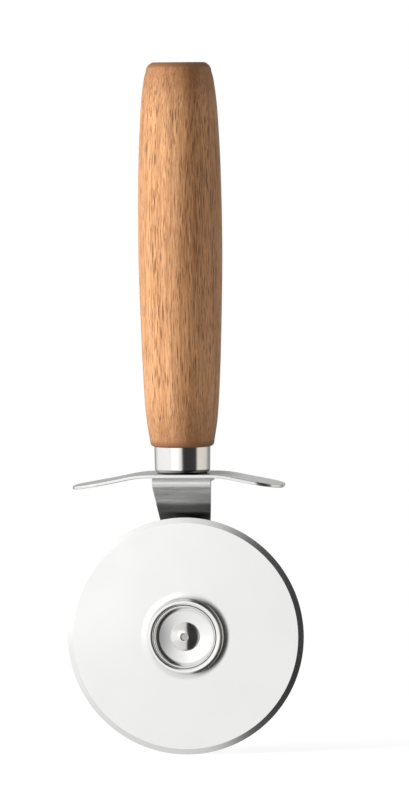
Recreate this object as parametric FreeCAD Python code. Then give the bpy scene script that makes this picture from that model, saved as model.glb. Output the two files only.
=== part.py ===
import FreeCAD, Part
import math
import os

from FreeCAD import Vector

# Pastry cutter wheel.  Millimetres, +Z up along the handle, wheel standing on its lowest edge at Z = 0.
# The wheel spins about Y and its hub boss faces -Y.  X is the width of the finger guard.

# Wheel
WHEEL_R = 37.5
BLADE_T = 1.0            # sheet thickness
BLADE_Y = 3.2            # mid-plane of the disc, behind the handle's axis
BEVEL_W = 1.75           # ground width of the cutting edge, both faces
EDGE_T = 0.16            # thickness left at the cutting edge

# Boss pressed forward out of the disc
BOSS_H = 2.8             # above the disc's front face
BOSS_OPEN_R = 9.9        # opening in the boss
LIP_R = 0.95             # rounding of the opening's front edge
SHOULDER_R = 0.25        # rounding of the boss's front shoulder
SHOULDER_IN = 1.35       # centre of that rounding, outside the opening
FLARE_R = 0.15           # rounding where the boss meets the disc
BOSS_TILT = math.radians(15.0)
SKIRT_R = 7.0            # gentle rise of the disc towards the boss
SKIRT_TILT = math.radians(18.0)

# Dished washer in the boss's opening; heights are above the disc's front face
DISH_R = 9.82
DISH_T = 0.8
DISH_RIM_H = 2.5
DISH_FLOOR_H = 1.16
DISH_BOWL = [(9.6, DISH_RIM_H), (8.92, 1.876), (8.05, 1.578)]    # front of the wall, from the rim inwards
DISH_BOWL_BACK = [(8.12, 0.78), (9.25, 1.2), (DISH_R, 1.85)]     # back of the wall, from the floor outwards

# Axle
SHANK_R = 1.5
SHANK_HOLE_R = 1.55
SPACER_R = 2.5
SLEEVE_BORE_R = 2.55     # 0.05 running clearance on the spacer
SLEEVE_R = 4.0
HEAD_R = 4.6
HEAD_H = 1.9
HEAD_EDGE_H = 0.4
HEAD_TIP_R = 1.3
HEAD_DIMPLE = 0.15
HEAD_BULGE = 0.66        # where the dome passes, as a share of the head's radius and height
TAIL_R = 3.0
TAIL_H = 1.5
END_GAP = 0.05           # play at each end of the sleeve
THRUST_T = 0.6
FRONT_THRUST_R = 5.2
REAR_THRUST_R = 7.0
HUB_PLATE_R = 17.0
HUB_PLATE_T = 0.8
RIVET_WASHER_R = 5.0
RIVET_WASHER_T = 0.8

# Arm
ARM_T = 1.5
ARM_BEND_R = 0.5         # inside radius of both bends
ARM_SLOPE = math.radians(40.5)   # of the neck, from upright
NECK_Y = -4.8            # a point on the neck's front face
NECK_Z = 86.3
FOOT_BACK_Y = 8.6
FOOT_HALF_W = 9.4
ARM_TAPER = 0.118        # half width lost per millimetre down the neck
ARM_LOW_HALF_W = 6.5     # half width at the axle, and radius of the arm's round end
NECK_END_Z = 72.0        # where the quick taper of the neck ends
FOOT_CORNER_R = 3.0

# Finger guard
GUARD_T = 1.1
GUARD_TOP_Z = 89.4
GUARD_LEFT = 34.6        # reach either side of the handle's axis; the left is a little longer
GUARD_RIGHT = 32.2
GUARD_DEPTH = 22.0
GUARD_FLAT = 9.4         # half width of the flat middle, over the arm's foot
GUARD_BEND_END = 17.0    # where the guard is steepest
GUARD_STEEP = math.radians(12.0)
GUARD_TIP = math.radians(8.0)    # slope at the tips
GUARD_CORNER_R = 8.5
GUARD_EDGE_R = 0.3

# Ferrule and tang
FERRULE_TOP_Z = 97.8
FERRULE_TOP_R = 8.85
FERRULE_LOW_R = 8.70
FERRULE_T = 0.6
FERRULE_CORNER_R = 1.4
STEM_R = 2.25            # tang's stem through ferrule, guard and foot
STEM_HOLE_R = 2.3
TANG_R = 3.5
TANG_TOP_Z = 142.0
TANG_GROOVES = 8
TANG_GROOVE_PITCH = 5.0
TANG_GROOVE_DEPTH = 0.5
TANG_WASHER_R = 6.5
TANG_WASHER_T = 1.0

# Handle: radius at each height between the two rounded ends
HANDLE_TOP_Z = 218.4
HANDLE_TOP_FLAT_R = 8.0
HANDLE_TOP_CORNER = (9.55, 217.45)   # middle of the upper rounding
HANDLE_LOW_FACE_R = 9.0
HANDLE_LOW_CORNER = (9.7, 98.15)     # middle of the lower rounding
SPIGOT_LOW_Z = 92.2
SPIGOT_CHAMFER = 0.6
BORE_TOP_GAP = 2.0
HANDLE_SIDE = [
    (10.05, 98.9),
    (11.40, 108.6),
    (12.42, 127.6),
    (13.20, 158.0),
    (12.95, 184.0),
    (12.10, 203.0),
    (11.05, 212.4),
    (10.35, 215.4),
]

# Worked out from the dimensions above
AXLE_Z = WHEEL_R
DISC_FRONT_Y = BLADE_Y - BLADE_T / 2
DISC_BACK_Y = BLADE_Y + BLADE_T / 2
DISH_FLOOR_Y = DISC_FRONT_Y - DISH_FLOOR_H
DISH_BACK_Y = DISH_FLOOR_Y + DISH_T
SLEEVE_FRONT_Y = DISH_BACK_Y + THRUST_T + END_GAP
HUB_PLATE_BACK_Y = DISC_BACK_Y + HUB_PLATE_T
SLEEVE_BACK_Y = HUB_PLATE_BACK_Y + END_GAP
ARM_FRONT_Y = SLEEVE_BACK_Y + END_GAP + THRUST_T
ARM_BACK_Y = ARM_FRONT_Y + ARM_T
GUARD_UNDER_Z = GUARD_TOP_Z - GUARD_T
FOOT_UNDER_Z = GUARD_UNDER_Z - ARM_T
FERRULE_FLOOR_Z = GUARD_TOP_Z + FERRULE_T
SHOULDER_Z = FERRULE_FLOOR_Z + TANG_WASHER_T

X_AXIS = Vector(1, 0, 0)
Y_AXIS = Vector(0, 1, 0)
Z_AXIS = Vector(0, 0, 1)
ORIGIN = Vector(0, 0, 0)
AXLE = Vector(0, 0, AXLE_Z)

# Which edges of the guard are rounded
UPRIGHT = 0.99           # rise of a direction that counts as upright
SLOPING = 0.7            # rise below which a rim edge is rounded
TOUCHING = 0.001


def line(start, end):
    return Part.makeLine(start, end)


def arc(start, middle, end):
    return Part.Arc(start, middle, end).toShape()


def polygon(points):
    return Part.makePolygon(points + points[:1])


def revolve(wire, centre, axis):
    return Part.Face(Part.Wire(wire)).revolve(centre, axis, 360)


def axle_point(radius, y):
    """A point of a wheel part's half section: radius from the axle, and place along it."""
    return Vector(radius, y, AXLE_Z)


def axle_turned(points):
    """A solid turned about the axle from a half section of straight lines."""
    section = polygon([axle_point(radius, y) for radius, y in points])
    return revolve(section, AXLE, Y_AXIS)


def axle_tube(outer, inner, front, back):
    return axle_turned([(inner, front), (outer, front), (outer, back), (inner, back)])


def handle_point(radius, z):
    return Vector(radius, 0, z)


def handle_turned(points):
    """A solid turned about the handle's axis from a half section of straight lines."""
    section = polygon([handle_point(radius, z) for radius, z in points])
    return revolve(section, ORIGIN, Z_AXIS)


def round_point(centre, radius, angle):
    """A point on a rounding of a wheel part: angle from +radius towards the front, -Y."""
    return axle_point(centre[0] + radius * math.cos(angle), centre[1] - radius * math.sin(angle))


def round_arc(centre, radius, first, last):
    middle = (first + last) / 2
    return arc(round_point(centre, radius, first), round_point(centre, radius, middle),
               round_point(centre, radius, last))


def blade_disc():
    """The disc, its ground edge and the boss pressed out of it, all one sheet."""
    shoulder = (BOSS_OPEN_R + SHOULDER_IN, DISC_FRONT_Y - BOSS_H + SHOULDER_R)
    flare_h = SKIRT_R - (SKIRT_R - FLARE_R) * math.cos(SKIRT_TILT)
    rise = BOSS_H - SHOULDER_R - flare_h + (SHOULDER_R + FLARE_R) * math.sin(BOSS_TILT)
    flare_x = shoulder[0] + (SHOULDER_R + FLARE_R) * math.cos(BOSS_TILT) + rise * math.tan(BOSS_TILT)
    flare = (flare_x, DISC_FRONT_Y - flare_h)
    skirt = (flare_x + (SKIRT_R - FLARE_R) * math.sin(SKIRT_TILT), DISC_FRONT_Y - SKIRT_R)
    skirt_start = 1.5 * math.pi - SKIRT_TILT
    outer_r = FLARE_R + BLADE_T
    facing = math.pi + BOSS_TILT
    rim_back_y = DISC_FRONT_Y - BOSS_H + BLADE_T
    wall_drop = rim_back_y - shoulder[1] + SHOULDER_R * math.sin(BOSS_TILT)
    wall_r = shoulder[0] + SHOULDER_R * math.cos(BOSS_TILT) + wall_drop * math.tan(BOSS_TILT)
    inner_corner = axle_point(wall_r - BLADE_T / math.cos(BOSS_TILT), rim_back_y)
    lip = (BOSS_OPEN_R + LIP_R, DISC_FRONT_Y - BOSS_H + LIP_R)
    front_side = [
        line(round_point(lip, LIP_R, math.pi / 2), round_point(shoulder, SHOULDER_R, math.pi / 2)),
        round_arc(shoulder, SHOULDER_R, math.pi / 2, BOSS_TILT),
        line(round_point(shoulder, SHOULDER_R, BOSS_TILT), round_point(flare, FLARE_R, facing)),
        round_arc(flare, FLARE_R, facing, skirt_start),
        round_arc(skirt, SKIRT_R, skirt_start, 1.5 * math.pi),
        line(round_point(skirt, SKIRT_R, 1.5 * math.pi), axle_point(WHEEL_R - BEVEL_W, DISC_FRONT_Y)),
        line(axle_point(WHEEL_R - BEVEL_W, DISC_FRONT_Y), axle_point(WHEEL_R, BLADE_Y - EDGE_T / 2)),
    ]
    edge = line(axle_point(WHEEL_R, BLADE_Y - EDGE_T / 2), axle_point(WHEEL_R, BLADE_Y + EDGE_T / 2))
    back_side = [
        line(axle_point(WHEEL_R, BLADE_Y + EDGE_T / 2), axle_point(WHEEL_R - BEVEL_W, DISC_BACK_Y)),
        line(axle_point(WHEEL_R - BEVEL_W, DISC_BACK_Y), round_point(skirt, SKIRT_R + BLADE_T, 1.5 * math.pi)),
        round_arc(skirt, SKIRT_R + BLADE_T, 1.5 * math.pi, skirt_start),
        round_arc(flare, outer_r, skirt_start, facing),
        line(round_point(flare, outer_r, facing), inner_corner),
        line(inner_corner, axle_point(BOSS_OPEN_R, rim_back_y)),
    ]
    opening = [
        line(axle_point(BOSS_OPEN_R, rim_back_y), round_point(lip, LIP_R, math.pi)),
        round_arc(lip, LIP_R, math.pi, math.pi / 2),
    ]
    return revolve(front_side + [edge] + back_side + opening, AXLE, Y_AXIS)


def dish_washer():
    """Bowl-shaped washer: a flat rim, a rounded wall and a floor that falls gently to the rivet."""
    front = [axle_point(radius, DISC_FRONT_Y - height) for radius, height in DISH_BOWL]
    back = [axle_point(radius, DISC_FRONT_Y - height) for radius, height in DISH_BOWL_BACK]
    rim = axle_point(DISH_R, DISC_FRONT_Y - DISH_RIM_H)
    floor = axle_point(HEAD_R, DISH_FLOOR_Y)
    hole_front = axle_point(SHANK_HOLE_R, DISH_FLOOR_Y)
    hole_back = axle_point(SHANK_HOLE_R, DISH_BACK_Y)
    floor_back = axle_point(HEAD_R, DISH_BACK_Y)
    section = [
        line(rim, front[0]),
        arc(*front),
        line(front[2], floor),
        line(floor, hole_front),
        line(hole_front, hole_back),
        line(hole_back, floor_back),
        line(floor_back, back[0]),
        arc(*back),
        line(back[2], rim),
    ]
    return revolve(section, AXLE, Y_AXIS)


def hub_plate():
    """Flat plate behind the boss, on the disc's back face."""
    return axle_tube(HUB_PLATE_R, SLEEVE_R, DISC_BACK_Y, HUB_PLATE_BACK_Y)


def bearing_sleeve():
    """Sleeve pressed into the hub plate, running on the spacer."""
    return axle_tube(SLEEVE_R, SLEEVE_BORE_R, SLEEVE_FRONT_Y, SLEEVE_BACK_Y)


def axle_spacer():
    """Fixed tube between the dish and the arm."""
    return axle_tube(SPACER_R, SHANK_HOLE_R, DISH_BACK_Y, ARM_FRONT_Y)


def front_thrust_washer():
    return axle_tube(FRONT_THRUST_R, SLEEVE_BORE_R, DISH_BACK_Y, DISH_BACK_Y + THRUST_T)


def rear_thrust_washer():
    return axle_tube(REAR_THRUST_R, SLEEVE_BORE_R, ARM_FRONT_Y - THRUST_T, ARM_FRONT_Y)


def rivet_washer():
    return axle_tube(RIVET_WASHER_R, SHANK_HOLE_R, ARM_BACK_Y, ARM_BACK_Y + RIVET_WASHER_T)


def axle_rivet():
    """Domed head with a small flat tip in front, shank, and a rounded head formed behind the arm."""
    edge_y = DISH_FLOOR_Y - HEAD_EDGE_H
    tip_y = DISH_FLOOR_Y - HEAD_H
    tail_y = ARM_BACK_Y + RIVET_WASHER_T
    dome_middle = axle_point(HEAD_BULGE * HEAD_R, edge_y - HEAD_BULGE * (HEAD_H - HEAD_EDGE_H))
    tail_dome_r = (TAIL_R ** 2 + TAIL_H ** 2) / (2 * TAIL_H)
    tail_half = math.asin(TAIL_R / tail_dome_r) / 2
    tail_middle = axle_point(tail_dome_r * math.sin(tail_half),
                             tail_y + TAIL_H - tail_dome_r * (1 - math.cos(tail_half)))
    section = [
        line(axle_point(0, tip_y + HEAD_DIMPLE), axle_point(HEAD_TIP_R - HEAD_DIMPLE, tip_y + HEAD_DIMPLE)),
        line(axle_point(HEAD_TIP_R - HEAD_DIMPLE, tip_y + HEAD_DIMPLE), axle_point(HEAD_TIP_R, tip_y)),
        arc(axle_point(HEAD_TIP_R, tip_y), dome_middle, axle_point(HEAD_R, edge_y)),
        line(axle_point(HEAD_R, edge_y), axle_point(HEAD_R, DISH_FLOOR_Y)),
        line(axle_point(HEAD_R, DISH_FLOOR_Y), axle_point(SHANK_R, DISH_FLOOR_Y)),
        line(axle_point(SHANK_R, DISH_FLOOR_Y), axle_point(SHANK_R, tail_y)),
        line(axle_point(SHANK_R, tail_y), axle_point(TAIL_R, tail_y)),
        arc(axle_point(TAIL_R, tail_y), tail_middle, axle_point(0, tail_y + TAIL_H)),
        line(axle_point(0, tail_y + TAIL_H), axle_point(0, tip_y + HEAD_DIMPLE)),
    ]
    return revolve(section, AXLE, Y_AXIS)


def side_point(y, z):
    return Vector(0, y, z)


def on_bend(centre, radius, angle):
    """A point on a bend of the arm, seen from the side: angle from +Y towards +Z."""
    return side_point(centre.y + radius * math.cos(angle), centre.z + radius * math.sin(angle))


def bend_arc(centre, radius, first, last):
    return arc(on_bend(centre, radius, first), on_bend(centre, radius, (first + last) / 2),
               on_bend(centre, radius, last))


def neck_y(z):
    """Where the neck's front face lies at a height."""
    return NECK_Y + (NECK_Z - z) * math.tan(ARM_SLOPE)


def arm_side():
    """The arm seen from the side: foot, fold, sloping neck, bend and upright part."""
    outside = ARM_BEND_R + ARM_T
    facing = math.pi + ARM_SLOPE
    fold_z = GUARD_UNDER_Z - outside
    fold_y = neck_y(fold_z + outside * math.sin(facing)) - outside * math.cos(facing)
    fold = side_point(fold_y, fold_z)
    low_y = ARM_FRONT_Y - ARM_BEND_R
    tangent_y = low_y + ARM_BEND_R * math.cos(ARM_SLOPE)
    low_z = NECK_Z - (tangent_y - NECK_Y) / math.tan(ARM_SLOPE) - ARM_BEND_R * math.sin(ARM_SLOPE)
    low = side_point(low_y, low_z)
    top_back = side_point(FOOT_BACK_Y, GUARD_UNDER_Z)
    under_back = side_point(FOOT_BACK_Y, FOOT_UNDER_Z)
    bottom_z = AXLE_Z - ARM_LOW_HALF_W
    outline = [
        line(top_back, on_bend(fold, outside, math.pi / 2)),
        bend_arc(fold, outside, math.pi / 2, facing),
        line(on_bend(fold, outside, facing), on_bend(low, ARM_BEND_R, ARM_SLOPE)),
        bend_arc(low, ARM_BEND_R, ARM_SLOPE, 0),
        line(on_bend(low, ARM_BEND_R, 0), side_point(ARM_FRONT_Y, bottom_z)),
        line(side_point(ARM_FRONT_Y, bottom_z), side_point(ARM_BACK_Y, bottom_z)),
        line(side_point(ARM_BACK_Y, bottom_z), on_bend(low, outside, 0)),
        bend_arc(low, outside, 0, ARM_SLOPE),
        line(on_bend(low, outside, ARM_SLOPE), on_bend(fold, ARM_BEND_R, facing)),
        bend_arc(fold, ARM_BEND_R, facing, math.pi / 2),
        line(on_bend(fold, ARM_BEND_R, math.pi / 2), under_back),
        line(under_back, top_back),
    ]
    face = Part.Face(Part.Wire(outline))
    face.translate(Vector(-FOOT_HALF_W, 0, 0))
    return face.extrude(Vector(2 * FOOT_HALF_W, 0, 0))


def arm_front():
    """The arm's outline from the front, as a block: tapered neck, narrow upright part, round end."""
    neck_half = FOOT_HALF_W - ARM_TAPER * (NECK_Z - NECK_END_Z)
    tilt = math.atan((neck_half - ARM_LOW_HALF_W) / (NECK_END_Z - AXLE_Z))
    side = Vector(ARM_LOW_HALF_W * math.cos(tilt), 0, AXLE_Z + ARM_LOW_HALF_W * math.sin(tilt))
    right = [side, Vector(neck_half, 0, NECK_END_Z), Vector(FOOT_HALF_W, 0, NECK_Z),
             Vector(FOOT_HALF_W, 0, GUARD_TOP_Z)]
    left = [Vector(-point.x, 0, point.z) for point in reversed(right)]
    edges = [line(start, end) for start, end in zip(right + left, (right + left)[1:])]
    edges.append(arc(left[-1], Vector(0, 0, AXLE_Z - ARM_LOW_HALF_W), right[0]))
    face = Part.Face(Part.Wire(edges))
    face.translate(Vector(0, -GUARD_DEPTH, 0))
    return face.extrude(Vector(0, 2 * GUARD_DEPTH, 0))


def upright_hole(radius, low_z, high_z):
    return Part.makeCylinder(radius, high_z - low_z, Vector(0, 0, low_z), Z_AXIS)


def wheel_arm():
    """Bent strip with round-cornered foot, tang hole and axle hole."""
    arm = arm_side().common(arm_front())
    axle_hole = Part.makeCylinder(SHANK_HOLE_R, ARM_T + 2, Vector(0, ARM_FRONT_Y - 1, AXLE_Z), Y_AXIS)
    arm = arm.cut(axle_hole)
    arm = arm.cut(upright_hole(STEM_HOLE_R, FOOT_UNDER_Z - 1, GUARD_UNDER_Z + 1))
    corners = []
    for edge in arm.Edges:
        middle = edge.CenterOfMass
        if abs(middle.y - FOOT_BACK_Y) < 0.01 and abs(abs(middle.x) - FOOT_HALF_W) < 0.01:
            corners.append(edge)
    return arm.makeFillet(FOOT_CORNER_R, corners)


def arch(lift):
    """The guard's arch from left to right, lift above its underside: flat, bent down, then flaring out."""
    bend_r = (GUARD_BEND_END - GUARD_FLAT) / math.sin(GUARD_STEEP)
    flare_r = (GUARD_LEFT - GUARD_BEND_END) / (math.sin(GUARD_STEEP) - math.sin(GUARD_TIP))
    bend_z = GUARD_TOP_Z - bend_r
    flare_x = GUARD_BEND_END + flare_r * math.sin(GUARD_STEEP)
    flare_z = bend_z + (bend_r + flare_r) * math.cos(GUARD_STEEP)
    past_tip = math.asin(math.sin(GUARD_TIP) - GUARD_T / flare_r)
    bend_lift = bend_r - GUARD_T + lift
    flare_lift = flare_r + GUARD_T - lift
    right = []
    for angle in (0, GUARD_STEEP / 2, GUARD_STEEP):
        outward = Vector(math.sin(angle), 0, math.cos(angle))
        right.append(Vector(GUARD_FLAT, 0, bend_z) + outward * bend_lift)
    for angle in ((GUARD_STEEP + past_tip) / 2, past_tip):
        outward = Vector(math.sin(angle), 0, math.cos(angle))
        right.append(Vector(flare_x, 0, flare_z) - outward * flare_lift)
    left = [Vector(-point.x, 0, point.z) for point in right]
    return [
        arc(left[4], left[3], left[2]),
        arc(left[2], left[1], left[0]),
        line(left[0], right[0]),
        arc(right[0], right[1], right[2]),
        arc(right[2], right[3], right[4]),
    ]


def guard_plan():
    """The guard's outline from above, as a tall block with round corners."""
    block = Part.makeBox(GUARD_LEFT + GUARD_RIGHT, GUARD_DEPTH, 2 * GUARD_DEPTH,
                         Vector(-GUARD_LEFT, -GUARD_DEPTH / 2, GUARD_TOP_Z - GUARD_DEPTH))
    corners = [edge for edge in block.Edges if abs(edge.tangentAt(edge.FirstParameter).z) > UPRIGHT]
    return block.makeFillet(GUARD_CORNER_R, corners)


def finger_guard():
    """Arched strip with round corners, eased edges and a hole for the tang."""
    under = arch(0)
    over = arch(GUARD_T)
    ends = [line(under[0].firstVertex(True).Point, over[0].firstVertex(True).Point),
            line(under[-1].lastVertex(True).Point, over[-1].lastVertex(True).Point)]
    face = Part.Face(Part.Wire(Part.__sortEdges__(under + over + ends)))
    face.translate(Vector(0, -GUARD_DEPTH, 0))
    plan = guard_plan()
    guard = face.extrude(Vector(0, 2 * GUARD_DEPTH, 0)).common(plan)
    rim = []
    for edge in guard.Edges:
        middle = (edge.FirstParameter + edge.LastParameter) / 2
        off_side = plan.Shells[0].distToShape(Part.Vertex(edge.valueAt(middle)))[0]
        if off_side < TOUCHING and abs(edge.tangentAt(middle).z) < SLOPING:
            rim.append(edge)
    guard = guard.makeFillet(GUARD_EDGE_R, rim)
    return guard.cut(upright_hole(STEM_HOLE_R, GUARD_UNDER_Z - 1, GUARD_TOP_Z + 1))


def ferrule():
    """Drawn cup: slightly tapered wall, rounded lower corner, floor with a hole."""
    taper = math.atan((FERRULE_TOP_R - FERRULE_LOW_R) / (FERRULE_TOP_Z - GUARD_TOP_Z))
    inner_r = FERRULE_CORNER_R - FERRULE_T
    centre_r = FERRULE_LOW_R - FERRULE_CORNER_R
    centre_z = GUARD_TOP_Z + FERRULE_CORNER_R

    def corner(radius, angle):
        return handle_point(centre_r + radius * math.cos(angle), centre_z + radius * math.sin(angle))

    mouth = handle_point(FERRULE_TOP_R - FERRULE_T, FERRULE_TOP_Z)
    section = [
        line(handle_point(STEM_HOLE_R, GUARD_TOP_Z), corner(FERRULE_CORNER_R, -math.pi / 2)),
        arc(corner(FERRULE_CORNER_R, -math.pi / 2), corner(FERRULE_CORNER_R, -math.pi / 4),
            corner(FERRULE_CORNER_R, -taper)),
        line(corner(FERRULE_CORNER_R, -taper), handle_point(FERRULE_TOP_R, FERRULE_TOP_Z)),
        line(handle_point(FERRULE_TOP_R, FERRULE_TOP_Z), mouth),
        line(mouth, corner(inner_r, -taper)),
        arc(corner(inner_r, -taper), corner(inner_r, -math.pi / 4), corner(inner_r, -math.pi / 2)),
        line(corner(inner_r, -math.pi / 2), handle_point(STEM_HOLE_R, FERRULE_FLOOR_Z)),
        line(handle_point(STEM_HOLE_R, FERRULE_FLOOR_Z), handle_point(STEM_HOLE_R, GUARD_TOP_Z)),
    ]
    return revolve(section, ORIGIN, Z_AXIS)


def tang_washer():
    return handle_turned([(STEM_HOLE_R, FERRULE_FLOOR_Z), (TANG_WASHER_R, FERRULE_FLOOR_Z),
                          (TANG_WASHER_R, SHOULDER_Z), (STEM_HOLE_R, SHOULDER_Z)])


def tang_rod():
    """Grooved rod in the handle, with a thinner stem through ferrule, guard and foot."""
    groove_r = TANG_R - TANG_GROOVE_DEPTH
    outline = [(0, FOOT_UNDER_Z), (STEM_R, FOOT_UNDER_Z), (STEM_R, SHOULDER_Z), (TANG_R, SHOULDER_Z)]
    for groove in range(TANG_GROOVES):
        top = TANG_TOP_Z - TANG_GROOVE_PITCH * (TANG_GROOVES - groove)
        outline += [(TANG_R, top - 2 * TANG_GROOVE_DEPTH), (groove_r, top - 2 * TANG_GROOVE_DEPTH),
                    (groove_r, top - TANG_GROOVE_DEPTH), (TANG_R, top)]
    outline += [(TANG_R, TANG_TOP_Z - TANG_GROOVE_DEPTH), (groove_r, TANG_TOP_Z), (0, TANG_TOP_Z)]
    return handle_turned(outline)


def wooden_handle():
    """Turned handle with rounded ends, a spigot for the ferrule and a bore for the tang."""
    spigot_top_r = FERRULE_TOP_R - FERRULE_T
    slope = (FERRULE_TOP_R - FERRULE_LOW_R) / (FERRULE_TOP_Z - GUARD_TOP_Z - FERRULE_CORNER_R)
    spigot_low_r = spigot_top_r - slope * (FERRULE_TOP_Z - SPIGOT_LOW_Z)
    side_points = [handle_point(radius, z) for radius, z in HANDLE_SIDE]
    side = Part.BSplineCurve()
    side.interpolate(side_points)
    bore_top = TANG_TOP_Z + BORE_TOP_GAP
    low_face = handle_point(HANDLE_LOW_FACE_R, FERRULE_TOP_Z)
    top_flat = handle_point(HANDLE_TOP_FLAT_R, HANDLE_TOP_Z)
    section = [
        line(handle_point(TANG_R, SPIGOT_LOW_Z), handle_point(spigot_low_r - SPIGOT_CHAMFER, SPIGOT_LOW_Z)),
        line(handle_point(spigot_low_r - SPIGOT_CHAMFER, SPIGOT_LOW_Z),
             handle_point(spigot_low_r + slope * SPIGOT_CHAMFER, SPIGOT_LOW_Z + SPIGOT_CHAMFER)),
        line(handle_point(spigot_low_r + slope * SPIGOT_CHAMFER, SPIGOT_LOW_Z + SPIGOT_CHAMFER),
             handle_point(spigot_top_r, FERRULE_TOP_Z)),
        line(handle_point(spigot_top_r, FERRULE_TOP_Z), low_face),
        arc(low_face, handle_point(*HANDLE_LOW_CORNER), side_points[0]),
        side.toShape(),
        arc(side_points[-1], handle_point(*HANDLE_TOP_CORNER), top_flat),
        line(top_flat, handle_point(0, HANDLE_TOP_Z)),
        line(handle_point(0, HANDLE_TOP_Z), handle_point(0, bore_top)),
        line(handle_point(0, bore_top), handle_point(TANG_R, bore_top)),
        line(handle_point(TANG_R, bore_top), handle_point(TANG_R, SPIGOT_LOW_Z)),
    ]
    return revolve(section, ORIGIN, Z_AXIS)


PARTS = [
    wooden_handle,
    ferrule,
    tang_rod,
    tang_washer,
    finger_guard,
    wheel_arm,
    blade_disc,
    hub_plate,
    bearing_sleeve,
    dish_washer,
    axle_rivet,
    axle_spacer,
    front_thrust_washer,
    rear_thrust_washer,
    rivet_washer,
]

os.makedirs("parts", exist_ok=True)
for make in PARTS:
    shape = make()
    if not shape.isValid() or len(shape.Solids) != 1:
        raise ValueError(f"{make.__name__} is not one valid solid")
    solid = shape.Solids[0]
    if solid.Volume < 0:
        raise ValueError(f"{make.__name__} is inside out")
    box = solid.BoundBox
    print(f"{make.__name__:20s} {solid.Volume:10.1f} mm3  x {box.XMin:.2f}..{box.XMax:.2f}  "
          f"y {box.YMin:.2f}..{box.YMax:.2f}  z {box.ZMin:.2f}..{box.ZMax:.2f}")
    solid.exportStep(f"parts/{make.__name__}.step")
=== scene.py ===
"""Pastry cutter wheel: the finished look of every piece, built round the design frame."""

import math

import bmesh
import bpy
from bpy.props import FloatProperty, FloatVectorProperty, IntProperty, PointerProperty
from mathutils import Matrix, Vector


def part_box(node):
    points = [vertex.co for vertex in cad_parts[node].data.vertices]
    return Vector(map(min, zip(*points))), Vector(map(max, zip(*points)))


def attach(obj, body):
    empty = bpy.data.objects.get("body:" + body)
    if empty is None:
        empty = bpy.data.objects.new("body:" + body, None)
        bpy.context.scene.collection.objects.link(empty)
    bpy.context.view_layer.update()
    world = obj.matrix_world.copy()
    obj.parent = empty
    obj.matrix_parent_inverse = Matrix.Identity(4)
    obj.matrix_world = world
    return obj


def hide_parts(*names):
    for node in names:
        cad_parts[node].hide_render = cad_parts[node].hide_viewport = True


bl_info = {
    "name": "Pastry Cutter Wheel",
    "version": (1, 0, 0),
    "blender": (4, 5, 0),
    "location": "3D View > Sidebar > Pastry Wheel",
    "description": "Builds a pastry cutter wheel with a wooden handle, piece by piece",
    "category": "Object",
}

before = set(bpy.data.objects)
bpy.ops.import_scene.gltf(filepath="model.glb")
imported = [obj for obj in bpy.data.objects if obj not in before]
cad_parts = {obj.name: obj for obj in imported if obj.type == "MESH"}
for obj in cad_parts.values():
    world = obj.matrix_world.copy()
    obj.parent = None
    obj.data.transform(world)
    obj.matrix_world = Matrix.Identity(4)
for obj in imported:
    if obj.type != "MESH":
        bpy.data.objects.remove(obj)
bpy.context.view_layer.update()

MM = 0.001
FIXED_BODY = "handle_frame"
WHEEL_BODY = "wheel"


# ---------------------------------------------------------------- places, read from the frame

def span(node, axis):
    """Lowest and highest place of a node along an axis, in metres."""
    low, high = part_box(node)
    return low[axis], high[axis]


WHEEL_R = span("blade_disc", 0)[1]
AXLE_Z = sum(span("blade_disc", 2)) / 2
BOSS_FRONT_Y, DISC_BACK_Y = span("blade_disc", 1)
DISH_FRONT_Y, DISH_BACK_Y = span("dish_washer", 1)
DISH_R = span("dish_washer", 0)[1]
HEAD_TIP_Y, TAIL_END_Y = span("axle_rivet", 1)
HEAD_R = span("axle_rivet", 0)[1]
RIVET_WASHER_BACK_Y = span("rivet_washer", 1)[1]
ARM_FRONT_Y = span("rear_thrust_washer", 1)[1]
ARM_BACK_Y = span("rivet_washer", 1)[0]
ARM_LOW_Z, ARM_TOP_Z = span("wheel_arm", 2)
FOOT_BACK_Y = span("wheel_arm", 1)[1]
FOOT_HALF_W = span("wheel_arm", 0)[1]
GUARD_TOP_Z = span("finger_guard", 2)[1]
GUARD_LEFT, GUARD_RIGHT = span("finger_guard", 0)
GUARD_HALF_DEPTH = span("finger_guard", 1)[1]
FERRULE_LOW_Z, FERRULE_TOP_Z = span("ferrule", 2)
FERRULE_TOP_R = span("ferrule", 0)[1]
SPIGOT_LOW_Z, HANDLE_TOP_Z = span("wooden_handle", 2)
TANG_TOP_Z = span("tang_rod", 2)[1]
TANG_R = span("tang_rod", 0)[1]
ARM_T = ARM_BACK_Y - ARM_FRONT_Y

# Sizes that two or more pieces share
SHANK_HOLE_R = 1.55 * MM
STEM_HOLE_R = 2.3 * MM
SLEEVE_BORE_R = 2.55 * MM
HOLE_SIDES = 32
SMALL_SEGMENTS = 96      # faces round the small turned pieces

WELD = 0.0001 * MM
REAL_CORNER = math.radians(12)
LARGE_FACE_SHARE = 80


# ---------------------------------------------------------------- settings a user would change

class HandleSettings(bpy.types.PropertyGroup):
    """Size and wood of the turned handle."""
    segments: IntProperty(name="Segments", description="Faces round the handle", default=192, min=24, max=512)
    light_wood: FloatVectorProperty(
        name="Light wood", description="Colour of the pale growth", subtype="COLOR", size=3,
        default=(0.68, 0.36, 0.172), min=0, max=1)
    dark_wood: FloatVectorProperty(
        name="Dark wood", description="Colour of the dark growth", subtype="COLOR", size=3,
        default=(0.36, 0.155, 0.058), min=0, max=1)
    pore: FloatVectorProperty(
        name="Pores", description="Colour inside the open pores", subtype="COLOR", size=3,
        default=(0.13, 0.052, 0.022), min=0, max=1)


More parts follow.
